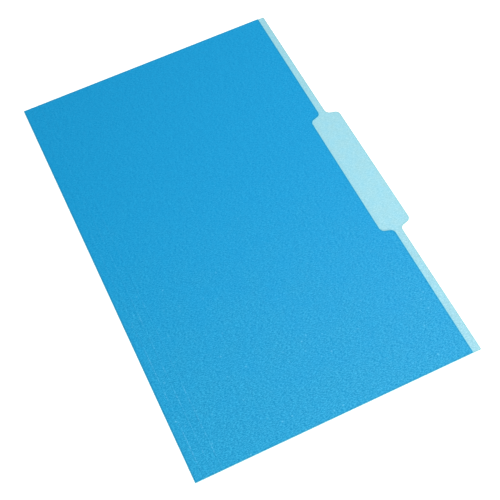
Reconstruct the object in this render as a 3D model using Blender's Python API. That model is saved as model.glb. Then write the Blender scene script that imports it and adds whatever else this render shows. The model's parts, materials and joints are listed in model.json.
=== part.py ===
"""Interior file folder: one die-cut sheet of card, folded once and scored three times.

The folder lies closed and flat on its back panel. X runs from the fold to the tab, Y runs along the
fold and Z is up. The origin is the middle of the folder's underside. Each stiff stretch of card is an
object of its own. Its origin lies on the fold or score that it turns on, and its parent is the stretch
on the other side of that line. Turning gusset_strip_1 by up to -180 degrees about Y opens the folder
flat. Turning the pieces after it the same way bends the front back on its scores.
"""

import math

import bpy
import bmesh
from mathutils import Matrix, Vector

# Driving dimensions, in metres

FOLDER_LENGTH = 0.37465
FOLDER_WIDTH = 0.2413
CARD_THICKNESS = 0.0003
PANEL_GAP = 0.0003
PIECE_CLEARANCE = 0.0003

TAB_HEIGHT = 0.0102
TAB_LENGTH = 0.1263
TAB_OFFSET = -0.0019
TAB_END_SLANT = 0.0028
TAB_CORNER_RADIUS = 0.0046
TAB_ROOT_RADIUS = 0.0046

EDGE_STEP = 0.0061
EDGE_RUNOUT = 0.0013
UNDERCUT_DEPTH = 0.0098
SHEET_CORNER_RADIUS = 0.0008

SCORE_PITCH = 0.0071
SCORE_COUNT = 3
RIDGE_WIDTH = 0.0014
RIDGE_HEIGHT = 0.00012

# How finely arcs, ridges and the fold are cut into flats

ARC_STEPS = 6
RIDGE_STEPS = 4
FOLD_SIDES = 24

# Sizes and places that follow from the driving dimensions

HALF_LENGTH = FOLDER_LENGTH / 2
FOLD_EDGE = -FOLDER_WIDTH / 2
TAB_EDGE = FOLDER_WIDTH / 2
BACK_EDGE = TAB_EDGE - TAB_HEIGHT
FRONT_EDGE = BACK_EDGE - EDGE_STEP
UNDERCUT_EDGE = FRONT_EDGE - UNDERCUT_DEPTH

BACK_LEVEL = CARD_THICKNESS / 2
FRONT_LEVEL = CARD_THICKNESS + PANEL_GAP + CARD_THICKNESS / 2
FOLD_RADIUS = CARD_THICKNESS + PANEL_GAP / 2
FOLD_LINE = Vector((FOLD_EDGE + FOLD_RADIUS, 0, FOLD_RADIUS))
CARD_START = FOLD_LINE.x + FOLD_RADIUS + PIECE_CLEARANCE

# Colours and finish of the card

OUTSIDE_BLUE = (0.020, 0.352, 0.672, 1.0)
INSIDE_PALE = (0.392, 0.768, 0.871, 1.0)
CARD_ROUGHNESS = 0.75


def clear_scene():
    """Remove what is there, so that the file can be run again in an open session."""
    for old in list(bpy.data.objects):
        bpy.data.objects.remove(old, do_unlink=True)
    for old in list(bpy.data.collections):
        bpy.data.collections.remove(old)


def new_collection(name):
    """Make a collection under the scene's own."""
    collection = bpy.data.collections.new(name)
    bpy.context.scene.collection.children.link(collection)
    return collection


def card_material(name, colour):
    """A dyed card surface, matt and without metal."""
    material = bpy.data.materials.new(name)
    material.use_nodes = True
    shader = material.node_tree.nodes["Principled BSDF"]
    shader.inputs["Base Color"].default_value = colour
    shader.inputs["Roughness"].default_value = CARD_ROUGHNESS
    shader.inputs["Metallic"].default_value = 0.0
    return material


def score_line(number):
    """A point on a score line, counted from the fold, at mid-thickness under the crest of its ridge."""
    return Vector((FOLD_EDGE + number * SCORE_PITCH, 0, FRONT_LEVEL + RIDGE_HEIGHT))


def turned(vector, angle):
    """A two-dimensional vector turned anticlockwise."""
    return Vector(
        (
            vector.x * math.cos(angle) - vector.y * math.sin(angle),
            vector.x * math.sin(angle) + vector.y * math.cos(angle),
        )
    )


def corner_arc(before, corner, after, radius):
    """The points that round one corner of an outline, or the corner itself where it is square."""
    if radius == 0:
        return [corner]
    back = (before - corner).normalized()
    on = (after - corner).normalized()
    half_angle = back.angle(on) / 2
    centre = corner + (back + on).normalized() * (radius / math.sin(half_angle))
    start = corner + back * (radius / math.tan(half_angle)) - centre
    sweep = math.pi - 2 * half_angle
    if back.cross(on) > 0:
        sweep = -sweep
    return [centre + turned(start, sweep * step / ARC_STEPS) for step in range(ARC_STEPS + 1)]


def outline(corners):
    """An outline's points, from its corners as (x, y, radius) in order."""
    places = [Vector((x, y)) for x, y, _ in corners]
    points = []
    for index, (_, _, radius) in enumerate(corners):
        before = places[index - 1]
        after = places[(index + 1) % len(places)]
        points += corner_arc(before, places[index], after, radius)
    return points


def tab_shape(root, tip):
    """The corners of the tab's outline along increasing Y. It narrows from its root to its tip."""
    half = TAB_LENGTH / 2
    lean = TAB_END_SLANT / 2
    return [
        (root, TAB_OFFSET - half - lean, TAB_ROOT_RADIUS),
        (tip, TAB_OFFSET - half + lean, TAB_CORNER_RADIUS),
        (tip, TAB_OFFSET + half - lean, TAB_CORNER_RADIUS),
        (root, TAB_OFFSET + half + lean, TAB_ROOT_RADIUS),
    ]


def run_out(corners):
    """The same corners on an edge that isn't quite parallel to the fold, but nears the tab edge as Y grows."""
    return [(x + EDGE_RUNOUT * y / FOLDER_LENGTH, y, radius) for x, y, radius in corners]


def card_sheet(corners, level):
    """A sheet of card cut to an outline, its mid-thickness at a level, as one closed mesh."""
    points = outline(corners)
    curve = bpy.data.curves.new("outline", "CURVE")
    curve.dimensions = "2D"
    curve.fill_mode = "BOTH"
    curve.extrude = CARD_THICKNESS / 2
    spline = curve.splines.new("POLY")
    spline.points.add(len(points) - 1)
    spline.use_cyclic_u = True
    for slot, point in zip(spline.points, points):
        slot.co = (point.x, point.y, 0, 1)
    drawn = bpy.data.objects.new("outline", curve)
    bpy.context.scene.collection.objects.link(drawn)
    drawn.location.z = level
    bpy.context.view_layer.update()

    evaluated = drawn.evaluated_get(bpy.context.evaluated_depsgraph_get())
    mesh = bpy.data.meshes.new_from_object(evaluated)
    cut = bmesh.new()
    cut.from_mesh(mesh)
    bmesh.ops.remove_doubles(cut, verts=cut.verts, dist=0.000001)
    cut.to_mesh(mesh)
    cut.free()
    sheet = bpy.data.objects.new("sheet", mesh)
    sheet.matrix_world = drawn.matrix_world.copy()
    bpy.data.objects.remove(drawn, do_unlink=True)
    bpy.data.curves.remove(curve)
    return sheet


def ridge_rise(distance):
    """How far a score raises the card at a distance from its line: a smooth crest with a level foot."""
    share = min(abs(distance) / (RIDGE_WIDTH / 2), 1)
    return RIDGE_HEIGHT * (1 + math.cos(math.pi * share)) / 2


def emboss(sheet, number):
    """Press one score's ridge into a sheet. Only the side of the ridge that the sheet reaches is made."""
    line = score_line(number).x
    step = RIDGE_WIDTH / 2 / RIDGE_STEPS
    pressed = bmesh.new()
    pressed.from_mesh(sheet.data)
    for place in range(-RIDGE_STEPS, RIDGE_STEPS + 1):
        bmesh.ops.bisect_plane(
            pressed,
            geom=pressed.verts[:] + pressed.edges[:] + pressed.faces[:],
            dist=0.000001,
            plane_co=(line + place * step, 0, 0),
            plane_no=(1, 0, 0),
        )
    for vertex in pressed.verts:
        vertex.co.z += ridge_rise(vertex.co.x - line)
    pressed.to_mesh(sheet.data)
    pressed.free()
    return sheet


def add_piece(piece, name, collection, material, hinge, parent=None):
    """Finish a piece: its name, material and collection, and its origin on the line that it turns on."""
    piece.name = name
    piece.data.name = name
    piece.data.materials.clear()
    piece.data.materials.append(material)
    for home in list(piece.users_collection):
        home.objects.unlink(piece)
    collection.objects.link(piece)
    piece.data.transform(Matrix.Translation(-hinge) @ piece.matrix_basis)
    piece.matrix_basis = Matrix.Translation(hinge)
    if parent is not None:
        bpy.context.view_layer.update()
        piece.parent = parent
        piece.matrix_parent_inverse = parent.matrix_world.inverted()
    return piece


def back_panel_sheet():
    """The longer panel, from the fold to its free edge, with the cut tab beyond that edge."""
    return card_sheet(
        [
            (CARD_START, -HALF_LENGTH, 0),
            (BACK_EDGE, -HALF_LENGTH, SHEET_CORNER_RADIUS),
            *tab_shape(BACK_EDGE, TAB_EDGE),
            (BACK_EDGE, HALF_LENGTH, SHEET_CORNER_RADIUS),
            (CARD_START, HALF_LENGTH, 0),
        ],
        BACK_LEVEL,
    )


def front_panel_sheet():
    """The shorter panel, from the last score to its free edge, with the undercut that bares the tab."""
    start = score_line(SCORE_COUNT).x + PIECE_CLEARANCE / 2
    free_edge = [
        (FRONT_EDGE, -HALF_LENGTH, SHEET_CORNER_RADIUS),
        *tab_shape(FRONT_EDGE, UNDERCUT_EDGE),
        (FRONT_EDGE, HALF_LENGTH, SHEET_CORNER_RADIUS),
    ]
    corners = [(start, -HALF_LENGTH, 0), *run_out(free_edge), (start, HALF_LENGTH, 0)]
    return emboss(card_sheet(corners, FRONT_LEVEL), SCORE_COUNT)


def gusset_strip_sheet(number):
    """The strip that ends at one score, and starts at the score before it or, for the first, at the fold."""
    start = CARD_START
    if number > 1:
        start = score_line(number - 1).x + PIECE_CLEARANCE / 2
    end = score_line(number).x - PIECE_CLEARANCE / 2
    sheet = card_sheet(
        [
            (start, -HALF_LENGTH, 0),
            (end, -HALF_LENGTH, 0),
            (end, HALF_LENGTH, 0),
            (start, HALF_LENGTH, 0),
        ],
        FRONT_LEVEL,
    )
    if number > 1:
        emboss(sheet, number - 1)
    return emboss(sheet, number)


def bottom_fold_bend():
    """The bend of the fold, as a round bead as high as the closed folder."""
    bpy.ops.mesh.primitive_cylinder_add(
        vertices=FOLD_SIDES,
        radius=FOLD_RADIUS,
        depth=FOLDER_LENGTH,
        location=FOLD_LINE,
        rotation=(math.pi / 2, 0, 0),
    )
    bend = bpy.context.active_object
    bend.data.shade_smooth()
    bend.data.set_sharp_from_angle(angle=math.radians(40))
    return bend


def build_folder():
    """Make the pieces in order from the back panel round to the front panel, each hung on the last."""
    folder = new_collection("interior_file_folder")
    blue = card_material("outside_card", OUTSIDE_BLUE)
    pale = card_material("inside_card", INSIDE_PALE)

    back = add_piece(back_panel_sheet(), "back_panel", folder, pale, Vector((0, 0, 0)))
    add_piece(bottom_fold_bend(), "bottom_fold", folder, blue, FOLD_LINE, back)
    last = back
    line = FOLD_LINE
    for number in range(1, SCORE_COUNT + 1):
        strip = gusset_strip_sheet(number)
        last = add_piece(strip, f"gusset_strip_{number}", folder, blue, line, last)
        line = score_line(number)
    add_piece(front_panel_sheet(), "front_panel", folder, blue, line, last)


clear_scene()
build_folder()
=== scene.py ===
# %% [markdown]
# # An interior file folder
#
# The real object is one sheet of stiff card, dyed a strong blue on its outside and a pale cyan on its
# inside. A steel die cuts the outline, a press raises three scores beside the fold, and the sheet is
# then folded once. It lies here closed and flat, with its tab showing past the shorter front.
#
# The lesson keeps to that order. First the camera, the light and the finishes are made. Then the flat
# blanks are cut, one for each stiff stretch of card, and a single rule folds them all into place.

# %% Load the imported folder
import json
import math

import bmesh
import bpy
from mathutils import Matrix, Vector


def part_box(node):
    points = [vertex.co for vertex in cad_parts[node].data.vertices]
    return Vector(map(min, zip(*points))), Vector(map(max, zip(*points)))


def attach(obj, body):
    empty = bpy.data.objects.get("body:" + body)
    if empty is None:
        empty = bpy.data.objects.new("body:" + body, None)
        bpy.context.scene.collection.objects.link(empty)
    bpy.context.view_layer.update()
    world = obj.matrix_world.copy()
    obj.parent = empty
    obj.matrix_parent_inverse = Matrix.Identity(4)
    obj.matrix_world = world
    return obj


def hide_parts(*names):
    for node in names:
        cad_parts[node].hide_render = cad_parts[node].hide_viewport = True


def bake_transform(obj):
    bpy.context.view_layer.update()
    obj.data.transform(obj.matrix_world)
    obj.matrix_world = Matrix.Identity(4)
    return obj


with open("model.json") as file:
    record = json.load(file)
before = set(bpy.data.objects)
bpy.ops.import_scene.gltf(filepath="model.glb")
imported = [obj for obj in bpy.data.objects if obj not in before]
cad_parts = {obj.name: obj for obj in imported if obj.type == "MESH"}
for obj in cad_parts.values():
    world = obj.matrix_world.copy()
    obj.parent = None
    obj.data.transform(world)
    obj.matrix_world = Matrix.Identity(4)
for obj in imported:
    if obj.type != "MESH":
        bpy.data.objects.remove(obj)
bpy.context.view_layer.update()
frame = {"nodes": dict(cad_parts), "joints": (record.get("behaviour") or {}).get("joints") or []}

print("pieces of the plain model:", ", ".join(sorted(frame["nodes"])))

# %% [markdown]
# ## The sizes that everything shares
#
# The plain model already says how long the folder is, how thick its card is and where each crease
# lies, so those numbers are read from it and not typed again. The hinge of the fold is the middle of
# the bend, and the hinge of each score lies under the crest of its ridge. All lengths are in metres.


# %% Read the card's sizes from the plain model
def in_mm(length):
    """A length in millimetres, for printing."""
    return round(length * 1000, 2)


back_low, back_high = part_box("back_panel")
_, front_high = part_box("front_panel")
_, strip_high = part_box("gusset_strip_1")
joint_places = {joint["name"]: Vector(joint["pos_m"]) for joint in frame["joints"]}

HALF_LENGTH = back_high.y
CARD = back_high.z - back_low.z
BEND_RADIUS = joint_places["open_folder"].z
FOLD_X = joint_places["open_folder"].x
SCORE_XS = [joint_places[f"score_{number}"].x for number in (1, 2, 3)]
SCORE_PITCH = SCORE_XS[1] - SCORE_XS[0]
FRONT_TOP = 2 * BEND_RADIUS
RIDGE_HEIGHT = strip_high.z - FRONT_TOP
RIDGE_WIDTH = 0.0014
BEND_LENGTH = math.pi * (BEND_RADIUS - CARD / 2)

print(f"card {in_mm(CARD)} mm, bend radius {in_mm(BEND_RADIUS)} mm, fold at x {in_mm(FOLD_X)} mm")
print("scores at x", [in_mm(x) for x in SCORE_XS], "mm, ridge", in_mm(RIDGE_HEIGHT), "mm high")

# %% [markdown]
# ## The cut outline
#
# One die cuts the tab on the back panel and the undercut in the front one, so both have the same
# length, slant and rounding. The tab steps out from its edge and the undercut steps in. This folder
# was folded a touch out of square, so its front edge runs out of parallel by little more than 1 mm.
# These values were measured on the photograph. The places of the edges come from the plain model.

# %% Sizes of the tab and of the corners
TAB_HEIGHT = 0.0102
TAB_LENGTH = 0.1263
TAB_MIDDLE = -0.0019
TAB_END_SLANT = 0.0028
TAB_TIP_RADIUS = 0.0046
TAB_ROOT_RADIUS = 0.0046
UNDERCUT_DEPTH = 0.0098
EDGE_RUNOUT = 0.0013
SHEET_CORNER_RADIUS = 0.0008
RIM_WIDTH = 0.0014

BACK_EDGE = back_high.x - TAB_HEIGHT
FRONT_EDGE = front_high.x - EDGE_RUNOUT / 2
print(f"back edge at x {in_mm(BACK_EDGE)} mm, middle of the front edge at x {in_mm(FRONT_EDGE)} mm")

# %% [markdown]
# ## The camera
#
# The photographer stood at the near end and looked down at nearly sixty degrees, through a short
# telephoto lens. The straight edges of a sheet of known size fix the whole view, so place, turn and
# lens were solved from them, and no shift is needed. The numbers are then only set here.


# %% Place the camera
def in_scene(name, data):
    """A new object in the scene."""
    item = bpy.data.objects.new(name, data)
    bpy.context.scene.collection.objects.link(item)
    return item


CAMERA_PLACE = (-0.15366, -0.4614, 0.73694)
CAMERA_TURN = (31.512, 3.716, -25.073)
CAMERA_LENS = 78.98

camera_data = bpy.data.cameras.new("camera")
camera_data.sensor_width = 36.0
camera_data.lens = CAMERA_LENS
camera_data.clip_start = 0.01
camera_data.clip_end = 50.0
camera = in_scene("camera", camera_data)
camera.location = CAMERA_PLACE
camera.rotation_euler = [math.radians(angle) for angle in CAMERA_TURN]
bpy.context.scene.camera = camera
bpy.context.scene.view_settings.view_transform = "Standard"
print("camera", CAMERA_PLACE, "lens", CAMERA_LENS, "mm")

# %% [markdown]
# ## Short ways to build node trees
#
# A node tree is long-winded to write out, because every node and every link takes a line. This small
# helper adds a node, sets it and wires it in one call, for geometry and for materials alike. A value
# that is a socket becomes a link, and any other value is typed into the socket.


# %% Helpers for node trees
class Nodes:
    """A node tree, with short ways to add nodes to it and to join them."""

    def __init__(self, tree, group_type="ShaderNodeGroup"):
        self.tree = tree
        self.group_type = group_type

    def feed(self, socket, value):
        """Link a socket's value, or type it in. A colour is given without its alpha."""
        if isinstance(value, bpy.types.NodeSocket):
            self.tree.links.new(value, socket)
        elif socket.type == "RGBA":
            socket.default_value = (*value, 1.0)
        else:
            socket.default_value = value

    def add(self, kind, inputs=None, **settings):
        """Add a node, with its settings and its inputs by name or number."""
        node = self.tree.nodes.new(kind)
        for name, value in settings.items():
            setattr(node, name, value)
        for key, value in (inputs or {}).items():
            self.feed(node.inputs[key], value)
        return node

    def out(self, kind, inputs=None, **settings):
        """Add a node and take its first output."""
        return self.add(kind, inputs, **settings).outputs[0]

    def math(self, operation, *values, clamp=False):
        """One arithmetic step on numbers."""
        inputs = dict(enumerate(values))
        return self.out("ShaderNodeMath", inputs, operation=operation, use_clamp=clamp)

    def plus(self, total, *others):
        """A sum."""
        for other in others:
            total = self.math("ADD", total, other)
        return total

    def minus(self, value, other, clamp=False):
        """A difference."""
        return self.math("SUBTRACT", value, other, clamp=clamp)

    def times(self, product, *others):
        """A product."""
        for other in others:
            product = self.math("MULTIPLY", product, other)
        return product

    def over(self, value, other, clamp=False):
        """A quotient."""
        return self.math("DIVIDE", value, other, clamp=clamp)

    def vector(self, operation, *values):
        """One arithmetic step on vectors."""
        return self.out("ShaderNodeVectorMath", dict(enumerate(values)), operation=operation)

    def scaled(self, vector, scale):
        """A vector made longer or shorter."""
        return self.out("ShaderNodeVectorMath", {0: vector, "Scale": scale}, operation="SCALE")

    def combine(self, x=0.0, y=0.0, z=0.0):
        """A vector from three numbers."""
        return self.out("ShaderNodeCombineXYZ", {"X": x, "Y": y, "Z": z})

    def separate(self, vector):
        """The three numbers of a vector."""
        return self.add("ShaderNodeSeparateXYZ", {0: vector}).outputs

    def noise(self, vector, **settings):
        """A noise at a place, with its sockets by name."""
        return self.add("ShaderNodeTexNoise", {"Vector": vector, **settings}).outputs["Fac"]

    def ramp(self, value, low, high, out_low=0.0, out_high=1.0):
        """A smooth step of a value from low to high."""
        inputs = {"Value": value, "From Min": low, "From Max": high, "To Min": out_low, "To Max": out_high}
        return self.out("ShaderNodeMapRange", inputs, interpolation_type="SMOOTHSTEP")

    def fade(self, value, low, high):
        """A smooth step down, from one at low to nothing at high."""
        return self.ramp(value, low, high, 1.0, 0.0)

    def store(self, geometry, name, value, kind="FLOAT", domain="POINT"):
        """Write a value down on the geometry under a name."""
        inputs = {"Geometry": geometry, "Name": name, "Value": value}
        return self.out("GeometryNodeStoreNamedAttribute", inputs, data_type=kind, domain=domain)

    def stored(self, name, kind="FLOAT"):
        """Read back a value that was written down on the geometry."""
        return self.out("GeometryNodeInputNamedAttribute", {"Name": name}, data_type=kind)

    def position(self):
        """Each point's own place."""
        return self.out("GeometryNodeInputPosition")

    def moved(self, geometry, place):
        """The geometry with its points put in new places."""
        return self.out("GeometryNodeSetPosition", {0: geometry, "Position": place})

    def flipped(self, geometry):
        """The geometry with its faces turned over."""
        return self.out("GeometryNodeFlipFaces", {0: geometry})

    def joined(self, *parts):
        """Several geometries as one."""
        join = self.add("GeometryNodeJoinGeometry")
        for part in parts:
            self.tree.links.new(part, join.inputs[0])
        return join.outputs[0]

    def merged(self, geometry):
        """The geometry with points that coincide made one."""
        return self.out("GeometryNodeMergeByDistance", {0: geometry, "Distance": MERGE})

    def equal(self, value, other):
        """Whether two whole numbers are the same."""
        inputs = {2: value, 3: other}
        return self.out("FunctionNodeCompare", inputs, data_type="INT", operation="EQUAL")

    def group(self, tree, **inputs):
        """The outputs of a group. Its inputs go by name, where an underscore stands for a space."""
        node = self.tree.nodes.new(self.group_type)
        node.node_tree = tree
        for key, value in inputs.items():
            self.feed(node.inputs[key.replace("_", " ")], value)
        return node.outputs


SOCKETS = {float: "NodeSocketFloat", int: "NodeSocketInt", bool: "NodeSocketBool"}
VECTOR = "NodeSocketVector"
MATERIAL = "NodeSocketMaterial"
GEOMETRY = "NodeSocketGeometry"
RESULTS = {"Shader": SOCKETS[float], "Geometry": GEOMETRY}
MERGE = 0.000002


def new_group(name, inputs, outputs, kind="Shader"):
    """A new group: its helper, its inputs and its outputs. An input has a first value, or only a type."""
    tree = bpy.data.node_groups.new(name, kind + "NodeTree")
    for label, value in inputs.items():
        socket_type = SOCKETS.get(type(value), value)
        socket = tree.interface.new_socket(label, in_out="INPUT", socket_type=socket_type)
        if socket_type != value:
            socket.default_value = value
    for label in outputs:
        tree.interface.new_socket(label, in_out="OUTPUT", socket_type=RESULTS[kind])
    start = tree.nodes.new("NodeGroupInput").outputs
    end = tree.nodes.new("NodeGroupOutput").inputs
    return Nodes(tree, kind + "NodeGroup"), start, end


def new_material(name):
    """A new material, the helper for its nodes and its shader."""
    material = bpy.data.materials.new(name)
    material.use_nodes = True
    return material, Nodes(material.node_tree), material.node_tree.nodes["Principled BSDF"]


def finished(nodes):
    """Say what a group became, and hand it over."""
    print("group", nodes.tree.name, "with", len(nodes.tree.nodes), "nodes")
    return nodes.tree


print("helpers for node trees are ready")

# %% [markdown]
# ## Grain
#
# Card is felted wood fibre, and most fibres lie along the way that the wet web ran through the
# machine. On this folder that way is across, from the fold to the tab, so the surface shows fine
# streaks a few millimetres long. Two noises make it: a stretched one for the streaks and a round one
# for the tooth between them. A third, coarser one is the height of the felt, because the light plays
# on clumps of fibres and not on single ones. Every pattern here reads the card's own flat
# coordinates, so it runs over the creases as real fibres do.

# %% Group: grain of the card
nodes, start, end = new_group(
    "card_grain",
    {
        "Sheet": VECTOR,
        "Width": 0.0008,
        "Stretch": 4.0,
        "Bend": 0.4,
        "Tooth": 0.5,
        "Tooth Fineness": 1.6,
        "Clump": 1.0,
        "Dark At": 0.32,
        "Light At": 0.68,
        "Power": 1.3,
    },
    ["Value", "Height"],
)
scale = nodes.over(1.0, start["Width"])
along = nodes.over(scale, start["Stretch"])
stretched = nodes.vector("MULTIPLY", start["Sheet"], nodes.combine(along, scale, scale))
clumps = nodes.scaled(stretched, nodes.over(1.0, start["Clump"]))
felt = nodes.noise(clumps, Scale=1.0, Detail=1.0, Distortion=start["Bend"])
streaks = nodes.noise(stretched, Scale=1.0, Detail=2.0, Distortion=start["Bend"])
tooth = nodes.noise(start["Sheet"], Scale=nodes.times(scale, start["Tooth Fineness"]), Detail=2.0)
both = nodes.add("ShaderNodeMix", {"Factor": start["Tooth"], "A": streaks, "B": tooth})
value = nodes.ramp(both.outputs["Result"], start["Dark At"], start["Light At"])
nodes.feed(end["Value"], nodes.math("POWER", value, start["Power"]))
nodes.feed(end["Height"], felt)
CARD_GRAIN = finished(nodes)

# %% [markdown]
# ## Clouds
#
# Held to the light, card is cloudy, because its fibres settle in loose flocks. Dye takes a little
# more in a thick flock than in a thin one. One soft noise of several sizes gives that slow drift.

# %% Group: clouds in the dye
nodes, start, end = new_group(
    "dye_clouds",
    {
        "Sheet": VECTOR,
        "Size": 0.006,
        "Detail": 3.0,
        "Roughness": 0.55,
        "Thin At": 0.25,
        "Thick At": 0.75,
    },
    ["Value"],
)
scale = nodes.over(1.0, start["Size"])
cloud = nodes.noise(start["Sheet"], Scale=scale, Detail=start["Detail"], Roughness=start["Roughness"])
nodes.feed(end["Value"], nodes.ramp(cloud, start["Thin At"], start["Thick At"]))
DYE_CLOUDS = finished(nodes)

# %% [markdown]
# ## Specks
#
# The dye misses a few fibre ends, which stay as tiny light dots. A cell pattern gives one possible
# dot to each cell. Only a share of the cells keep theirs, and each has its own size and strength.

# %% Group: undyed specks
nodes, start, end = new_group(
    "specks", {"Sheet": VECTOR, "Spacing": 0.003, "Size": 0.0004, "Share": 0.3}, ["Mask"]
)
scale = nodes.over(1.0, start["Spacing"])
cells = nodes.add("ShaderNodeTexVoronoi", {"Vector": start["Sheet"], "Scale": scale}, feature="F1")
chance, strength, size_draw = nodes.separate(cells.outputs["Color"])
radius = nodes.times(start["Size"], scale, size_draw)
inside = nodes.minus(1.0, nodes.over(cells.outputs["Distance"], radius), clamp=True)
kept = nodes.math("LESS_THAN", chance, start["Share"])
nodes.feed(end["Mask"], nodes.times(inside, kept, strength))
SPECKS = finished(nodes)

# %% [markdown]
# ## Stray fibres
#
# Here and there one long fibre lies on the surface and shows as a short bent hair, darker or lighter
# than the card. Each cell of a cell pattern can hold one. The point is turned about the cell's middle
# by the cell's own angle and bent a little, and what lies near the hair's line is the mask.

# %% Group: stray fibres
nodes, start, end = new_group(
    "stray_fibres",
    {
        "Sheet": VECTOR,
        "Spacing": 0.012,
        "Scatter": 0.9,
        "Length": 0.004,
        "Width": 0.00025,
        "Bow": 0.3,
        "Taper From": 0.7,
        "Share": 0.5,
    },
    ["Mask"],
)
flat = nodes.vector("MULTIPLY", start["Sheet"], (1.0, 1.0, 0.0))
scale = nodes.over(1.0, start["Spacing"])
cells = nodes.add(
    "ShaderNodeTexVoronoi",
    {"Vector": flat, "Scale": scale, "Randomness": start["Scatter"]},
    feature="F1",
    voronoi_dimensions="2D",
)
chance, turn, strength = nodes.separate(cells.outputs["Color"])
middle = nodes.scaled(cells.outputs["Position"], start["Spacing"])
from_middle = nodes.vector("SUBTRACT", flat, middle)
turned = nodes.out(
    "ShaderNodeVectorRotate",
    {"Vector": from_middle, "Angle": nodes.times(turn, math.pi)},
    rotation_type="Z_AXIS",
)
along, across, _ = nodes.separate(turned)
half = nodes.times(start["Length"], 0.5)
share_along = nodes.over(along, half)
bow = nodes.times(share_along, share_along, half, start["Bow"])
off_line = nodes.math("ABSOLUTE", nodes.minus(across, bow))
near_line = nodes.minus(1.0, nodes.over(off_line, start["Width"]), clamp=True)
end_fade = nodes.fade(nodes.math("ABSOLUTE", share_along), start["Taper From"], 1.0)
kept = nodes.math("LESS_THAN", chance, start["Share"])
nodes.feed(end["Mask"], nodes.times(near_line, end_fade, kept, strength))
STRAY_FIBRES = finished(nodes)

# %% [markdown]
# ## Creases
#
# Folding strains the card along the fold and along each score, and each crease gets a mask here. In the
# card's flat coordinates each crease is a straight line, and the scores lie at even steps, so the nearest
# one is found by rounding. A score only shows where it is rubbed: a slow noise leaves it in short
# stretches, and a fine one leaves those dotted. The fold has a deeper band on either side of its crown,
# which is painted shade. The crown itself is paler, partly rubbed wear and partly painted highlight.


# %% Group: crushed lines at the creases
def from_nearest_score(nodes, start, from_first):
    """How far a place lies from the score that is nearest to it."""
    step = nodes.math("ROUND", nodes.over(from_first, start["Score Pitch"]))
    step = nodes.math("MINIMUM", nodes.math("MAXIMUM", step, 0.0), start["Last Score"])
    return nodes.minus(from_first, nodes.times(step, start["Score Pitch"]))


nodes, start, end = new_group(
    "crease_lines",
    {
        "Sheet": VECTOR,
        "Fold Line": -BEND_LENGTH / 2,
        "First Score": 0.0,
        "Score Pitch": SCORE_PITCH,
        "Last Score": 2.0,
        "Crown Reach": 0.0005,
        "Fold Reach": 0.0017,
        "Score Reach": 0.0007,
        "Stretches Per Metre": 70.0,
        "Flakes Per Metre": 800.0,
        "Bare From": 0.42,
        "Bare To": 0.62,
        "Wear Per Metre": 350.0,
        "Worn From": 0.25,
        "Worn To": 0.5,
        "Least Worn": 0.7,
    },
    ["Crown", "Fold", "Scores"],
)
across, _, _ = nodes.separate(start["Sheet"])
stretches = nodes.noise(start["Sheet"], Scale=start["Stretches Per Metre"], Detail=1.0)
flakes = nodes.noise(start["Sheet"], Scale=start["Flakes Per Metre"], Detail=1.0)
broken = [nodes.ramp(noise, start["Bare From"], start["Bare To"]) for noise in (stretches, flakes)]
wander = nodes.noise(start["Sheet"], Scale=start["Wear Per Metre"], Detail=3.0)
wear_and_shade_patches = nodes.ramp(wander, start["Worn From"], start["Worn To"], start["Least Worn"])
from_fold = nodes.math("ABSOLUTE", nodes.minus(across, start["Fold Line"]))
# The band along the fold is painted shade.
fold_mask = nodes.fade(from_fold, 0.0, start["Fold Reach"])
nodes.feed(end["Fold"], nodes.times(fold_mask, wear_and_shade_patches))
# The crown is paler, partly rubbed wear and partly painted highlight.
crown_mask = nodes.fade(from_fold, nodes.times(start["Crown Reach"], 0.5), start["Crown Reach"])
nodes.feed(end["Crown"], nodes.times(crown_mask, wear_and_shade_patches))
from_score = from_nearest_score(nodes, start, nodes.minus(start["First Score"], across))
score_mask = nodes.fade(nodes.math("ABSOLUTE", from_score), 0.0, start["Score Reach"])
nodes.feed(end["Scores"], nodes.times(score_mask, *broken))
CREASE_LINES = finished(nodes)
FIRST_SCORE_FLAT = -BEND_LENGTH - (SCORE_XS[0] - FOLD_X)
print("the first score lies at", in_mm(FIRST_SCORE_FLAT), "mm on the flat sheet")

# %% [markdown]
# ## Rims
#
# A narrow rim along every cut edge is painted a little darker, which is painted shade along the edge, and
# the very lip of it gets a colour of its own. Each blank carries a number that is nothing on its cut
# outline and one a little way inside it. The group turns that number into a mask for the rim and a
# narrower one for the lip, and lets the rim wander so that it isn't ruled.

# %% Group: rim of a cut edge
nodes, start, end = new_group(
    "cut_rim",
    {
        "Sheet": VECTOR,
        "Rim": 1.0,
        "Reach": 1.0,
        "Lip Reach": 0.4,
        "Wander": 0.3,
        "Waves Per Metre": 260.0,
    },
    ["Mask", "Lip"],
)
waves = nodes.noise(start["Sheet"], Scale=start["Waves Per Metre"], Detail=3.0)
shift = nodes.times(nodes.minus(waves, 0.5), start["Wander"])
# The rim mask carries painted shade along the cut edges.
nodes.feed(end["Mask"], nodes.fade(start["Rim"], 0.0, nodes.plus(start["Reach"], shift)))
# The lip is partly torn wear and partly painted highlight on the blue face, and painted shade on the pale
# one.
nodes.feed(end["Lip"], nodes.fade(start["Rim"], 0.0, start["Lip Reach"]))
CUT_RIM = finished(nodes)
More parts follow.
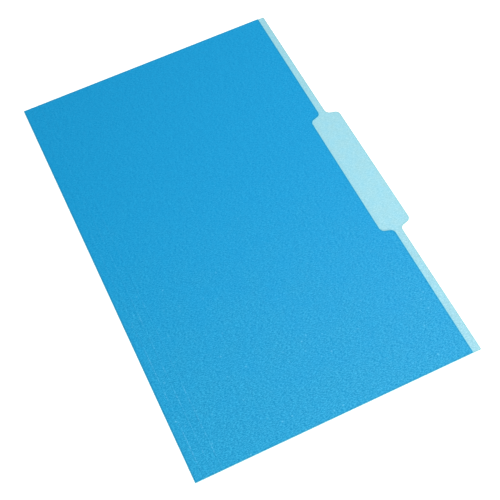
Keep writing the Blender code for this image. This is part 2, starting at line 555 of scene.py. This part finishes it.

# %% [markdown]
# ## Nap
#
# A folder is drawn from the drawer by its near end, close to the fold, and handling lifts the fibres
# there, so the grain's relief is strongest at that corner and least at the far end. The same ramp also
# makes the grain's light and dark flecks strongest there, which is partly painted glint. Its second output
# paints a sheen that grows towards the near end. A slow ramp along and across the sheet gives this, and a
# soft noise keeps it from being ruled.

# %% Group: nap raised by handling
nodes, start, end = new_group(
    "nap_and_painted_sheen",
    {
        "Sheet": VECTOR,
        "Calm End": HALF_LENGTH,
        "Handled End": -HALF_LENGTH,
        "Fade Across": 0.3,
        "Patches Per Metre": 45.0,
        "Drift": HALF_LENGTH,
        "Least": 0.46,
    },
    ["Value", "Share"],
)
across, along, _ = nodes.separate(start["Sheet"])
faded = nodes.times(nodes.math("ABSOLUTE", across), start["Fade Across"])
patches = nodes.noise(start["Sheet"], Scale=start["Patches Per Metre"], Detail=2.0)
drift = nodes.times(nodes.minus(patches, 0.5), start["Drift"])
share = nodes.fade(nodes.plus(along, faded, drift), start["Handled End"], start["Calm End"])
# This share paints a sheen that grows towards the near end. The value below sets the relief, and also the
# grain's colour flecks, which are partly painted glint there.
handling_and_sheen_share = nodes.times(share, share)
lifted = nodes.times(handling_and_sheen_share, nodes.minus(1.0, start["Least"]))
nodes.feed(end["Value"], nodes.plus(lifted, start["Least"]))
nodes.feed(end["Share"], handling_and_sheen_share)
NAP_AND_PAINTED_SHEEN = finished(nodes)

# %% [markdown]
# ## One recipe for both faces of the card
#
# The two faces are the same felt with different dyes, so one function builds either finish from the same
# groups, and each face only brings its own colours and strengths. The colour is laid on in layers, from
# the grain up to the lip, and each layer is a mix whose amount varies over the surface. Some layers are
# painted light: a sheen that grows towards the near end, a darker rim and fold band that are painted
# shade, and a lip that is partly painted highlight on the blue face and painted shade on the pale one. The
# roughness and the fine relief come from the grain, and the nap says how strong both are.

# %% The recipe for a dyed face
SPECK_SHARE = 0.55
SPECK_RISE = 0.5
DOTS = {"Spacing": 0.021, "Size": 0.0011, "Share": 0.25}
HAIRS = {"Spacing": 0.013, "Length": 0.0042, "Width": 0.0003, "Share": 0.5}


def tint(nodes, amount, under, over):
    """Mix a colour over another by an amount that varies over the surface."""
    mix = nodes.add("ShaderNodeMix", {0: amount}, data_type="RGBA")
    nodes.feed(mix.inputs[6], under)
    nodes.feed(mix.inputs[7], over)
    return mix.outputs[2]


def dyed_face(name, look):
    """A dyed face of the card: its colours, roughness and fine relief, from the shared groups."""
    material, nodes, shader = new_material(name)
    own_sheet = nodes.add("ShaderNodeAttribute", attribute_name="sheet").outputs["Vector"]
    sheet = nodes.vector("ADD", own_sheet, look["offset"])
    rim = nodes.add("ShaderNodeAttribute", attribute_name="rim").outputs["Fac"]

    clouds = nodes.group(DYE_CLOUDS, Sheet=sheet, Size=look["cloud_size"])["Value"]
    grain = nodes.group(CARD_GRAIN, Sheet=sheet, Width=look["grain_width"], Stretch=look["grain_stretch"])
    spacing, size = look["specks"]
    specks = nodes.group(SPECKS, Sheet=sheet, Spacing=spacing, Size=size, Share=SPECK_SHARE)["Mask"]
    dots = nodes.group(SPECKS, Sheet=sheet, **DOTS)["Mask"]
    hairs = nodes.group(STRAY_FIBRES, Sheet=sheet, **HAIRS)["Mask"]
    crease = nodes.group(CREASE_LINES, Sheet=own_sheet, First_Score=FIRST_SCORE_FLAT)
    edge = nodes.group(CUT_RIM, Sheet=own_sheet, Rim=rim)
    nap_and_glint, handling_and_sheen = nodes.group(NAP_AND_PAINTED_SHEEN, Sheet=own_sheet)
    # Grain colour that grows stronger towards the near end is partly painted glint.
    grain_value = nodes.plus(nodes.times(nodes.minus(grain["Value"], 0.5), nap_and_glint), 0.5)

    layers = {
        "grain": grain_value,
        # Light specks, shown most towards the near end, where they are partly painted glint.
        "speck": nodes.times(specks, handling_and_sheen),
        # Painted sheen: a paler tint that grows towards the near end.
        "painted_near_sheen": handling_and_sheen,
        "dot": dots,
        "hair": hairs,
        # Painted shade: a darker band along the fold.
        "fold": crease["Fold"],
        "score": nodes.times(crease["Scores"], handling_and_sheen),
        # Painted shade: a darker rim along the cut edges.
        "edge": edge["Mask"],
        # The lip along the cut edges and the fold's crown is partly painted highlight on the blue face and
        # painted shade on the pale one.
        "lip": nodes.math("MAXIMUM", edge["Lip"], crease["Crown"]),
    }
    colour = tint(nodes, clouds, look["deep"], look["pale"])
    for layer, mask in layers.items():
        strength, shade = look[layer]
        colour = tint(nodes, nodes.times(mask, strength), colour, shade)
    nodes.feed(shader.inputs["Base Color"], colour)

    nodes.feed(shader.inputs["Roughness"], nodes.ramp(grain_value, 0.0, 1.0, *look["roughness"]))
    nodes.feed(shader.inputs["Specular IOR Level"], nodes.ramp(grain_value, 0.0, 1.0, *look["specular"]))
    height = nodes.plus(grain["Height"], nodes.times(specks, SPECK_RISE))
    bump = nodes.add("ShaderNodeBump", {"Height": height, "Strength": nap_and_glint, "Distance": look["relief"]})
    nodes.feed(shader.inputs["Normal"], bump.outputs["Normal"])
    print("finish", name, "with the layers", ", ".join(layers))
    return material


print("the recipe for a dyed face is ready")

# %% [markdown]
# ## The blue outside
#
# The outside is dyed through its top fibres, so it is strong in colour and has only a low sheen.
# Undyed fibre ends show on it as light specks, and the grain catches the light. The specks show most
# towards the near end, where they are partly painted glint. The rim and the fold band are a shade deeper,
# which is painted shade. Their lip and the fold's crown are paler, partly rubbed wear and partly painted
# highlight. A paler, redder tint that grows towards the near end is painted sheen. A layer is given as its
# strength and its colour.

# %% Finish: blue outside
DEEP_FIBRE = (0.004, 0.2, 0.47)
# The deeper blue of the rim and the fold band is painted shade.
PAINTED_SHADE_BLUE = (0.000, 0.205, 0.405)
OUTSIDE = dyed_face(
    "blue_outside",
    {
        "offset": (0.0, 0.0, 0.0),
        "deep": (0.0, 0.188, 0.474),
        "pale": (0.0, 0.216, 0.51),
        "cloud_size": 0.0045,
        "grain_width": 0.00066,
        "grain_stretch": 2.6,
        "grain": (1.0, (0.013, 0.434, 0.775)),
        "specks": (0.0042, 0.001),
        "speck": (1.0, (0.14, 0.6, 0.88)),
        # Painted sheen: a paler, redder tint towards the near end.
        "painted_near_sheen": (0.12, (0.085, 0.48, 0.43)),
        "dot": (0.5, DEEP_FIBRE),
        "hair": (0.35, DEEP_FIBRE),
        "fold": (1.0, PAINTED_SHADE_BLUE),
        "score": (0.75, (0.11, 0.48, 0.76)),
        "edge": (1.0, PAINTED_SHADE_BLUE),
        # Partly rubbed wear and partly painted highlight along the edges and the fold's crown.
        "lip": (0.9, (0.1, 0.6, 0.76)),
        "roughness": (0.42, 0.5),
        "specular": (0.00, 0.36),
        "relief": 0.00022,
    },
)

# %% [markdown]
# ## The pale inside
#
# The inside carries much less dye, so the felt itself shows as soft light and dark grain, and a few fibres
# that took more dye show a shade bluer. Its rim, its fold band and its lip are a shade darker, which is
# painted shade, so its lip is a thin darker line and not a paler one. A faint paler tint towards the near
# end is painted sheen. The same recipe gives it, with its patterns moved so that the two faces don't
# match.

# %% Finish: pale inside
BLUER_FIBRE = (0.12, 0.48, 0.64)
# The darker tint of the rim and the fold band on the pale face is painted shade.
PAINTED_SHADE_PALE = (0.24, 0.55, 0.59)
INSIDE = dyed_face(
    "pale_inside",
    {
        "offset": (0.37, 0.21, 0.013),
        "deep": (0.222, 0.493, 0.565),
        "pale": (0.174, 0.502, 0.641),
        "cloud_size": 0.008,
        "grain_width": 0.0007,
        "grain_stretch": 3.0,
        "grain": (1.0, (0.44, 0.768, 0.856)),
        "specks": (0.0034, 0.0008),
        "speck": (0.7, (0.56, 0.86, 0.92)),
        # Painted sheen: a faint paler tint towards the near end.
        "painted_near_sheen": (0.4, (0.3, 0.528, 0.616)),
        "dot": (0.8, BLUER_FIBRE),
        "hair": (0.35, BLUER_FIBRE),
        "fold": (0.35, PAINTED_SHADE_PALE),
        "score": (0.35, (0.3, 0.64, 0.77)),
        "edge": (0.75, PAINTED_SHADE_PALE),
        # Painted shade: the lip of the pale face is a thin darker line.
        "lip": (0.8, (0.22, 0.5, 0.52)),
        "roughness": (0.44, 0.54),
        "specular": (0.16, 0.32),
        "relief": 0.0001,
    },
)

# %% [markdown]
# ## The cut edge
#
# A cut edge shows the card from the side: mostly pale undyed felt, with the blue as a thin skin on the
# outer side. The depth through the card is the third of its flat coordinates, so the skin is a ramp on
# that number, and the height of the torn felt makes its border ragged.

# %% Finish: cut edge
FELT_SHADED, FELT_LIT = (0.42, 0.76, 0.84), (0.56, 0.88, 0.92)
BLUE_SKIN = (0.02, 0.33, 0.64)
SKIN_FROM, SKIN_TO, RAGGED = CARD * 0.1, CARD * 0.3, CARD * 0.25
TORN = {"Width": 0.00012, "Stretch": 1.5, "Tooth": 0.6}
TORN_RELIEF = 0.00003
TORN_ROUGHNESS, TORN_SHEEN = (0.78, 0.92), 0.2

CUT_EDGE, nodes, shader = new_material("cut_edge")
sheet = nodes.add("ShaderNodeAttribute", attribute_name="sheet").outputs["Vector"]
_, _, depth = nodes.separate(sheet)
lightness, height = nodes.group(CARD_GRAIN, Sheet=sheet, **TORN)
skin = nodes.fade(nodes.plus(depth, nodes.times(height, RAGGED)), SKIN_FROM, SKIN_TO)
felt = tint(nodes, lightness, FELT_SHADED, FELT_LIT)
nodes.feed(shader.inputs["Base Color"], tint(nodes, skin, felt, BLUE_SKIN))
nodes.feed(shader.inputs["Roughness"], nodes.ramp(lightness, 0.0, 1.0, *TORN_ROUGHNESS))
nodes.feed(shader.inputs["Specular IOR Level"], TORN_SHEEN)
bump = nodes.add("ShaderNodeBump", {"Height": height, "Strength": 1.0, "Distance": TORN_RELIEF})
nodes.feed(shader.inputs["Normal"], bump.outputs["Normal"])
print("finish", CUT_EDGE.name)

# %% [markdown]
# ## The floor and the room
#
# The folder lies on a plain white sweep in a white room. Both add a little light of their own that
# only the camera and reflections see, so they read as white while the lamps stay at a plain level.
# The sweep's own light grows with the distance from the folder. Close to it the shadow shows, and far
# away the sweep is as white as the room, so that no horizon shows in a low view.


# %% Floor
def seen_directly(nodes):
    """One for what the camera and reflections see, and nothing for the light on the folder."""
    rays = nodes.add("ShaderNodeLightPath").outputs
    mirrored = nodes.math("MAXIMUM", rays["Is Glossy Ray"], rays["Is Transmission Ray"])
    return nodes.math("MAXIMUM", rays["Is Camera Ray"], mirrored)


WHITE = (1.0, 1.0, 1.0)
SWEEP_GREY = (0.8, 0.8, 0.8)
FLOOR_HALF = 6.0
FLOOR_LEVEL = -0.0001
NEAR_GLOW, FAR_GLOW = 0.5, 1.0
LIT_FROM, LIT_FULLY = 0.5, 2.0

floor_mesh = bpy.data.meshes.new("floor")
signs = [(-1, -1), (1, -1), (1, 1), (-1, 1)]
corners = [(x * FLOOR_HALF, y * FLOOR_HALF, FLOOR_LEVEL) for x, y in signs]
floor_mesh.from_pydata(corners, [], [(0, 1, 2, 3)])
floor = in_scene("floor", floor_mesh)

paper, nodes, matt = new_material("white_sweep")
for label, value in {"Base Color": SWEEP_GREY, "Roughness": 1.0, "Specular IOR Level": 0.0}.items():
    nodes.feed(matt.inputs[label], value)
floor_place = nodes.add("ShaderNodeTexCoord").outputs["Object"]
distance = nodes.add("ShaderNodeVectorMath", {0: floor_place}, operation="LENGTH").outputs["Value"]
growing = nodes.ramp(distance, LIT_FROM, LIT_FULLY, NEAR_GLOW, FAR_GLOW)
strength = nodes.times(seen_directly(nodes), growing)
glow = nodes.out("ShaderNodeEmission", {"Color": WHITE, "Strength": strength})
both = nodes.out("ShaderNodeAddShader", {0: matt.outputs[0], 1: glow})
nodes.feed(nodes.tree.nodes["Material Output"].inputs["Surface"], both)
floor_mesh.materials.append(paper)
print("floor", 2 * FLOOR_HALF, "m across")

# %% World
WORLD_LIGHT = 0.18
world = bpy.data.worlds.new("studio")
bpy.context.scene.world = world
world.use_nodes = True
world.node_tree.nodes.clear()
nodes = Nodes(world.node_tree)
room = nodes.out("ShaderNodeBackground", {"Color": WHITE, "Strength": WORLD_LIGHT})
white = nodes.out("ShaderNodeBackground", {"Color": WHITE, "Strength": 1.0})
shown = nodes.out("ShaderNodeMixShader", {0: seen_directly(nodes), 1: room, 2: white})
nodes.add("ShaderNodeOutputWorld", {"Surface": shown})
print("world light", WORLD_LIGHT)

# %% [markdown]
# ## The lamps
#
# Three soft lamps light the folder. The first hangs high over the tab side, gives most of the light
# and leaves a faint sheen there. The second stands low past the near end, where the card is brightest,
# and rakes over the grain. The third is weak and stands low on the fold's side, so that a front that
# stands up isn't dark from there. It leaves no highlight, because a low lamp would whiten a low view.


# %% Lamps
def soft_lamp(name, place, aim, size, level):
    """A square area lamp. Its level is the share of full white that it gives a matt face turned to it."""
    lamp_data = bpy.data.lights.new(name, "AREA")
    lamp_data.shape = "SQUARE"
    lamp_data.size = size
    reach = Vector(aim) - Vector(place)
    lamp_data.energy = level * math.pi**2 * reach.length_squared
    lamp = in_scene(name, lamp_data)
    lamp.location = place
    lamp.rotation_euler = reach.to_track_quat("-Z", "Y").to_euler()
    return lamp


soft_lamp("sheen_lamp", (0.51, -0.04, 1.00), (0.05, -0.12, 0.0), 0.75, 0.885)
soft_lamp("near_lamp", (-0.1, -1.15, 0.5), (0.0, -0.1, 0.0), 0.5, 0.665)
fold_lamp = soft_lamp("fold_lamp", (-1.3, 0.35, 0.42), (-0.1, 0.0, 0.05), 0.6, 0.25)
fold_lamp.visible_glossy = False

# %% [markdown]
# ## The outline of a die-cut panel
#
# Both panels have the same outline: a rectangle whose free edge steps out into a tab, or in for the
# undercut. Eight corner points say it all, and two more mark the rim's ends on the straight side.
# Drawn as points, joined into a closed curve and rounded, they give the outline for any size. A
# second, inset curve makes the rim, so the card has a narrow band of faces along its cut edge. The
# outline is drawn by its distance from the fold, on either side of it.

# %% Tree: flat panel with a tab or an undercut
PANEL_SIZES = {
    "Start": 0.0,
    "Edge": 0.1,
    "Tip": 0.11,
    "Run Out": 0.0,
    "Half Length": HALF_LENGTH,
    "Tab Middle": TAB_MIDDLE,
    "Tab Length": TAB_LENGTH,
    "End Slant": TAB_END_SLANT,
    "Corner Radius": SHEET_CORNER_RADIUS,
    "Root Radius": TAB_ROOT_RADIUS,
    "Tip Radius": TAB_TIP_RADIUS,
    "Rim Width": RIM_WIDTH,
    "Arc Points": 12,
}


def chosen_by_index(nodes, kind, values):
    """A field that takes the value at its own place in a list."""
    switch = nodes.add("GeometryNodeIndexSwitch", data_type=kind)
    while len(switch.index_switch_items) < len(values):
        switch.index_switch_items.new()
    nodes.feed(switch.inputs["Index"], nodes.out("GeometryNodeInputIndex"))
    for place, value in enumerate(values):
        nodes.feed(switch.inputs[place + 1], value)
    return switch.outputs[0]


nodes, start, end = new_group("panel_blank", PANEL_SIZES, ["Mesh"], "Geometry")
half_tab = nodes.times(start["Tab Length"], 0.5)
lean = nodes.times(start["End Slant"], 0.5)
root_reach = nodes.plus(half_tab, lean)
tip_reach = nodes.minus(half_tab, lean)
far = start["Half Length"]
near = nodes.times(far, -1.0)
near_rim = nodes.plus(near, start["Rim Width"])
far_rim = nodes.minus(far, start["Rim Width"])
near_ends = [nodes.minus(start["Tab Middle"], reach) for reach in (root_reach, tip_reach)]
far_ends = [nodes.plus(start["Tab Middle"], reach) for reach in (tip_reach, root_reach)]
slope = nodes.over(start["Run Out"], nodes.times(far, 2.0))


def free_edge(line, place, radius):
    """A corner on the free edge, which runs out along the panel."""
    x = nodes.plus(start[line], nodes.times(slope, place))
    return x, place, start[radius]


corner_points = [
    (start["Start"], near, 0.0),
    free_edge("Edge", near, "Corner Radius"),
    free_edge("Edge", near_ends[0], "Root Radius"),
    free_edge("Tip", near_ends[1], "Tip Radius"),
    free_edge("Tip", far_ends[0], "Tip Radius"),
    free_edge("Edge", far_ends[1], "Root Radius"),
    free_edge("Edge", far, "Corner Radius"),
    (start["Start"], far, 0.0),
    (start["Start"], far_rim, 0.0),
    (start["Start"], near_rim, 0.0),
]
places = chosen_by_index(nodes, "VECTOR", [nodes.combine(x, y) for x, y, _ in corner_points])
radii = chosen_by_index(nodes, "FLOAT", [radius for _, _, radius in corner_points])
points = nodes.out("GeometryNodePoints", {"Count": len(corner_points), "Position": places})
order = nodes.out("GeometryNodeInputIndex")
curve = nodes.out("GeometryNodePointsToCurves", {"Points": points, "Weight": order})
closed = nodes.out("GeometryNodeSetSplineCyclic", {0: curve, "Cyclic": True})
rounded = nodes.out(
    "GeometryNodeFilletCurve",
    {"Curve": closed, "Radius": radii, "Count": start["Arc Points"], "Limit Radius": True},
    mode="POLY",
)

tangent = nodes.out("GeometryNodeInputTangent")
inward = nodes.vector("CROSS_PRODUCT", (0.0, 0.0, 1.0), tangent)
here = nodes.position()
across, along, _ = nodes.separate(here)
stepped_in = nodes.vector("ADD", here, nodes.scaled(inward, start["Rim Width"]))
lowest = nodes.combine(nodes.plus(start["Start"], start["Rim Width"]), near_rim)
edge_here = nodes.plus(start["Edge"], nodes.times(slope, along))
inset_edge = nodes.minus(edge_here, start["Rim Width"])
corner_reach = nodes.minus(far_rim, start["Rim Width"])
in_corner = nodes.math("GREATER_THAN", nodes.math("ABSOLUTE", along), corner_reach)
out_of_reach = nodes.minus(1.0, in_corner)
highest = nodes.combine(nodes.plus(inset_edge, out_of_reach), far_rim)
kept_in = nodes.vector("MINIMUM", nodes.vector("MAXIMUM", stepped_in, lowest), highest)
inset = nodes.moved(rounded, kept_in)
loops = nodes.joined(rounded, inset)
band = nodes.out("GeometryNodeFillCurve", {0: loops}, mode="TRIANGLES")
core = nodes.out("GeometryNodeFillCurve", {0: inset}, mode="TRIANGLES")
sheet = nodes.merged(nodes.joined(band, core))

half_rim = nodes.times(start["Rim Width"], 0.5)
at_end = nodes.math("GREATER_THAN", nodes.math("ABSOLUTE", along), nodes.minus(far, half_rim))
past_seam = nodes.math("GREATER_THAN", across, nodes.plus(start["Start"], half_rim))
free_side = nodes.math("MAXIMUM", at_end, past_seam)
lone_edge = nodes.equal(nodes.out("GeometryNodeInputMeshEdgeNeighbors"), 1)
on_outline = nodes.out("GeometryNodeFieldOnDomain", {0: lone_edge}, data_type="BOOLEAN", domain="EDGE")
cut = nodes.times(free_side, on_outline)
nodes.feed(end["Mesh"], nodes.store(sheet, "rim", nodes.minus(1.0, cut)))
PANEL_BLANK = finished(nodes)

# %% [markdown]
# ## The blank of a narrow strip
#
# The stretches between the creases, and the bend of the fold itself, are plain strips of card. A grid
# gives one, with enough columns across it to bend and enough rows along it to stay well shaped. The
# grid is made a little too long and its ends are pressed back, which leaves the last row of faces
# exactly one rim wide, to match the panels.

# %% Tree: flat strip
STRIP_SIZES = {
    "From": 0.0,
    "To": 0.01,
    "Half Length": HALF_LENGTH,
    "Rim Width": RIM_WIDTH,
    "Columns": 8,
    "Rows": 40,
}
nodes, start, end = new_group("strip_blank", STRIP_SIZES, ["Mesh"], "Geometry")
columns = nodes.plus(start["Columns"], 1.0)
rows = nodes.plus(start["Rows"], 1.0)
half_length = start["Half Length"]
inner_half = nodes.minus(half_length, start["Rim Width"])
row_share = nodes.over(start["Rows"], nodes.minus(start["Rows"], 2.0))
full_length = nodes.times(inner_half, 2.0, row_share)
grid_sizes = {"Size X": 1.0, "Size Y": 1.0, "Vertices X": columns, "Vertices Y": rows}
grid = nodes.out("GeometryNodeMeshGrid", grid_sizes)
x, y, _ = nodes.separate(nodes.position())
width = nodes.minus(start["To"], start["From"])
across = nodes.plus(start["From"], nodes.times(nodes.plus(x, 0.5), width))
along = nodes.math("MINIMUM", nodes.times(y, full_length), half_length)
along = nodes.math("MAXIMUM", along, nodes.times(half_length, -1.0))
placed = nodes.moved(grid, nodes.combine(across, along))
inside_ends = nodes.minus(half_length, nodes.times(start["Rim Width"], 0.5))
not_at_end = nodes.math("LESS_THAN", nodes.math("ABSOLUTE", y), inside_ends)
nodes.feed(end["Mesh"], nodes.store(placed, "rim", not_at_end))
STRIP_BLANK = finished(nodes)

# %% [markdown]
# ## From a flat drawing to a card
#
# A blank is still only a drawing. This group gives it the card's thickness, with the outer face below
# and the inner face above, as the sheet lies on the die. It also writes down what the finishes and the
# next steps need: each point's place on the flat sheet, which face is which, and which edges the die
# has rounded. Those are the long edges of the cut outline, and not the seams where two stretches meet.

# %% Tree: thickness and marks
INNER_FACE, CUT_FACE = 1, 2
ON_OUTLINE = 0.001
SQUARE_ANGLE = math.radians(60)

nodes, start, end = new_group("thicken_card", {"Mesh": GEOMETRY, "Card": CARD}, ["Mesh"], "Geometry")
raised = nodes.add(
    "GeometryNodeExtrudeMesh",
    {"Mesh": start["Mesh"], "Offset": (0.0, 0.0, 1.0), "Offset Scale": start["Card"], "Individual": False},
    mode="FACES",
)
inner = nodes.times(raised.outputs["Top"], INNER_FACE)
sides = nodes.times(raised.outputs["Side"], CUT_FACE)
raised_card = nodes.store(raised.outputs["Mesh"], "face_kind", nodes.plus(inner, sides), "INT", "FACE")
card = nodes.merged(nodes.joined(raised_card, nodes.flipped(start["Mesh"])))
card = nodes.store(card, "sheet", nodes.position(), "FLOAT_VECTOR")

on_outline = nodes.math("LESS_THAN", nodes.stored("rim"), ON_OUTLINE)
angle = nodes.add("GeometryNodeInputMeshEdgeAngle").outputs["Unsigned Angle"]
square = nodes.math("GREATER_THAN", angle, SQUARE_ANGLE)
edge_ends = nodes.add("GeometryNodeInputMeshEdgeVertices")
rise = nodes.vector("SUBTRACT", edge_ends.outputs["Position 1"], edge_ends.outputs["Position 2"])
level = nodes.math("LESS_THAN", nodes.math("ABSOLUTE", nodes.separate(rise)[2]), MERGE)
rounded_edge = nodes.times(on_outline, square, level)
nodes.feed(end["Mesh"], nodes.store(card, "bevel_weight_edge", rounded_edge, "FLOAT", "EDGE"))
THICKEN_CARD = finished(nodes)

# %% [markdown]
# ## The rule that folds the sheet
#
# On the flat sheet the back panel lies to the right of the fold, the bend is a strip as wide as its own
# arc, and the front lies to the left. Folding sends every point round by one formula. A point of the
# back stays where it is, a point of the bend goes round the arc at its own depth, and a point of the
# front comes out on top. Beside a score the front also rises, as a smooth wave of the distance from the
# nearest score. Because the rule is the same for all of them, neighbours meet exactly.

# %% Tree: fold and scores
FOLD_SIZES = {
    "Card": CARD,
    "Fold Place": FOLD_X,
    "Bend Radius": BEND_RADIUS,
    "Bend Length": BEND_LENGTH,
    "First Score": SCORE_XS[0],
    "Score Pitch": SCORE_PITCH,
    "Last Score": 2.0,
    "Ridge Width": RIDGE_WIDTH,
    "Ridge Height": RIDGE_HEIGHT,
}
nodes, start, end = new_group("fold_card", {"Mesh": GEOMETRY, **FOLD_SIZES}, ["Mesh"], "Geometry")
across, along, depth = nodes.separate(nodes.position())
leftward = nodes.times(across, -1.0)
angle = nodes.times(nodes.over(leftward, start["Bend Length"], clamp=True), math.pi)
radius = nodes.minus(start["Bend Radius"], depth)
on_back = nodes.math("MAXIMUM", across, 0.0)
past_bend = nodes.minus(leftward, start["Bend Length"])
on_front = nodes.math("MAXIMUM", past_bend, 0.0)
reach = nodes.plus(start["Fold Place"], nodes.plus(on_back, on_front))
x = nodes.minus(reach, nodes.times(radius, nodes.math("SINE", angle)))
z = nodes.minus(start["Bend Radius"], nodes.times(radius, nodes.math("COSINE", angle)))

from_score = from_nearest_score(nodes, start, nodes.minus(x, start["First Score"]))
half_ridge = nodes.times(start["Ridge Width"], 0.5)
share_out = nodes.over(nodes.math("ABSOLUTE", from_score), half_ridge, clamp=True)
cosine = nodes.math("COSINE", nodes.times(share_out, math.pi))
wave = nodes.times(nodes.plus(cosine, 1.0), 0.5)
is_front = nodes.math("GREATER_THAN", past_bend, 0.0)
ridge = nodes.times(wave, start["Ridge Height"], is_front)
folded = nodes.moved(start["Mesh"], nodes.combine(x, along, nodes.plus(z, ridge)))
nodes.feed(end["Mesh"], folded)
FOLD_CARD = finished(nodes)

# %% [markdown]
# ## Two trees that make every piece
#
# A piece is a blank, thickened and folded. The panels start from the one outline and the narrow
# stretches from the other, so there are two trees with the same ending. On the front side of the fold
# the blank is first laid over to the left of the flat sheet, with its faces turned back up. Each tree
# ends by giving every face the finish that its mark asks for.

# %% Trees: panel and strip
FINISHES = {"Outside": OUTSIDE, "Inside": INSIDE, "Cut Edge": CUT_EDGE}


def card_tree(name, blank, blank_sizes):
    """A tree that takes a flat blank, lays it on its side of the fold, thickens it and folds it."""
    sizes = {**blank_sizes, "On Front": False, **FOLD_SIZES, **dict.fromkeys(FINISHES, MATERIAL)}
    nodes, start, end = new_group(name, sizes, ["Geometry"], "Geometry")
    flat = nodes.group(blank, **{label: start[label] for label in blank_sizes})[0]
    across, along, _ = nodes.separate(nodes.position())
    left = nodes.times(nodes.plus(across, start["Bend Length"]), -1.0)
    laid = nodes.flipped(nodes.moved(flat, nodes.combine(left, along)))
    sides = {"Switch": start["On Front"], "False": flat, "True": laid}
    chosen = nodes.out("GeometryNodeSwitch", sides, input_type="GEOMETRY")
    card = nodes.group(THICKEN_CARD, Mesh=chosen, Card=start["Card"])
    fold_sizes = {label: start[label] for label in FOLD_SIZES}
    folded = nodes.group(FOLD_CARD, Mesh=card[0], **fold_sizes)
    last = nodes.out("GeometryNodeRealizeInstances", {0: folded[0]})
    kind = nodes.stored("face_kind", "INT")
    for number, label in enumerate(FINISHES):
        inputs = {"Geometry": last, "Selection": nodes.equal(kind, number), "Material": start[label]}
        last = nodes.out("GeometryNodeSetMaterial", inputs)
    nodes.feed(end["Geometry"], last)
    return finished(nodes)


DIE_CUT_PANEL = card_tree("die_cut_panel", PANEL_BLANK, PANEL_SIZES)
CREASED_STRIP = card_tree("creased_strip", STRIP_BLANK, STRIP_SIZES)

# %% [markdown]
# ## Running a tree
#
# A tree is run by a modifier on an empty object. Its inputs are set before it is first evaluated, each
# through its socket's own identifier. A small bevel then rounds the marked edges as the die did. What
# comes out is taken as a plain mesh, its faces are made to point outwards, and only the broad curves
# are shaded smooth, so the flat faces stay truly flat.

# %% Make one piece of card
DIE_ROUNDING, ROUNDING_STEPS = 0.00005, 2
SMOOTH_ANGLE = math.radians(20)


def set_input(modifier, tree, label, value):
    """Set a modifier's input, found by its name, through its socket's identifier."""
    for item in tree.interface.items_tree:
        if item.item_type == "SOCKET" and item.in_out == "INPUT" and item.name == label:
            modifier[item.identifier] = value
            return
    raise KeyError(label)


def make_card(name, tree, **sizes):
    """Run a tree with these sizes, round the die's edges and return the piece as a plain mesh."""
    maker = in_scene(name + "_maker", bpy.data.meshes.new(name + "_maker"))
    cutter = maker.modifiers.new("cut and fold", "NODES")
    cutter.node_group = tree
    for label, value in {**sizes, **FINISHES}.items():
        set_input(cutter, tree, label.replace("_", " "), value)
    rounding = maker.modifiers.new("rounded by the die", "BEVEL")
    rounding.limit_method = "WEIGHT"
    rounding.width = DIE_ROUNDING
    rounding.segments = ROUNDING_STEPS
    evaluated = maker.evaluated_get(bpy.context.evaluated_depsgraph_get())
    mesh = bpy.data.meshes.new_from_object(evaluated)
    bpy.data.objects.remove(maker, do_unlink=True)

    shape = bmesh.new()
    shape.from_mesh(mesh)
    bmesh.ops.remove_doubles(shape, verts=shape.verts, dist=MERGE)
    bmesh.ops.recalc_face_normals(shape, faces=shape.faces)
    open_edges = sum(1 for edge in shape.edges if len(edge.link_faces) != 2)
    shape.to_mesh(mesh)
    shape.free()
    mesh.shade_smooth()
    mesh.set_sharp_from_angle(angle=SMOOTH_ANGLE)
    mesh.name = name
    piece = in_scene(name, mesh)
    size = [in_mm(length) for length in piece.dimensions]
    print(f"{name}: {len(mesh.polygons)} faces, {size} mm, open edges {open_edges}")
    return piece


# %% [markdown]
# ## The back panel and the bend
#
# The back panel is the longer side, with the tab. It starts a hair past the fold's own line and stays put
# while everything else turns. The bend is a narrow strip that goes half way round and reaches that hair
# onto both sides, so that no two ends touch when the folder lies open.

# %% Make the back panel and the bend
BEND_MARGIN = 0.00005
back_card = make_card(
    "back_card", DIE_CUT_PANEL, Start=BEND_MARGIN, Edge=BACK_EDGE - FOLD_X, Tip=back_high.x - FOLD_X
)
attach(back_card, "back")
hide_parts("back_panel")

fold_bend = make_card(
    "fold_bend", CREASED_STRIP, From=-BEND_LENGTH - BEND_MARGIN, To=BEND_MARGIN, Columns=24
)
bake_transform(fold_bend)
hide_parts("bottom_fold")

# %% [markdown]
# ## The scored strips and the front panel
#
# Each strip between the fold and the front panel carries the ridge of a score at its far end. The front
# panel starts where the last ridge ends.

# %% Make the strips and the front panel
half_ridge = RIDGE_WIDTH / 2
strip_start = FOLD_X + BEND_MARGIN
for number, score_x in enumerate(SCORE_XS, start=1):
    strip_end = score_x + half_ridge
    reach = {"From": strip_start - FOLD_X, "To": strip_end - FOLD_X}
    strip = make_card(f"gusset_card_{number}", CREASED_STRIP, **reach, Columns=60, On_Front=True)
    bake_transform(strip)
    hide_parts(f"gusset_strip_{number}")
    strip_start = strip_end

front_card = make_card(
    "front_card",
    DIE_CUT_PANEL,
    Start=strip_start - FOLD_X,
    Edge=FRONT_EDGE - FOLD_X,
    Tip=FRONT_EDGE - UNDERCUT_DEPTH - FOLD_X,
    Run_Out=EDGE_RUNOUT,
    On_Front=True,
)
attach(front_card, "front")
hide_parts("front_panel")
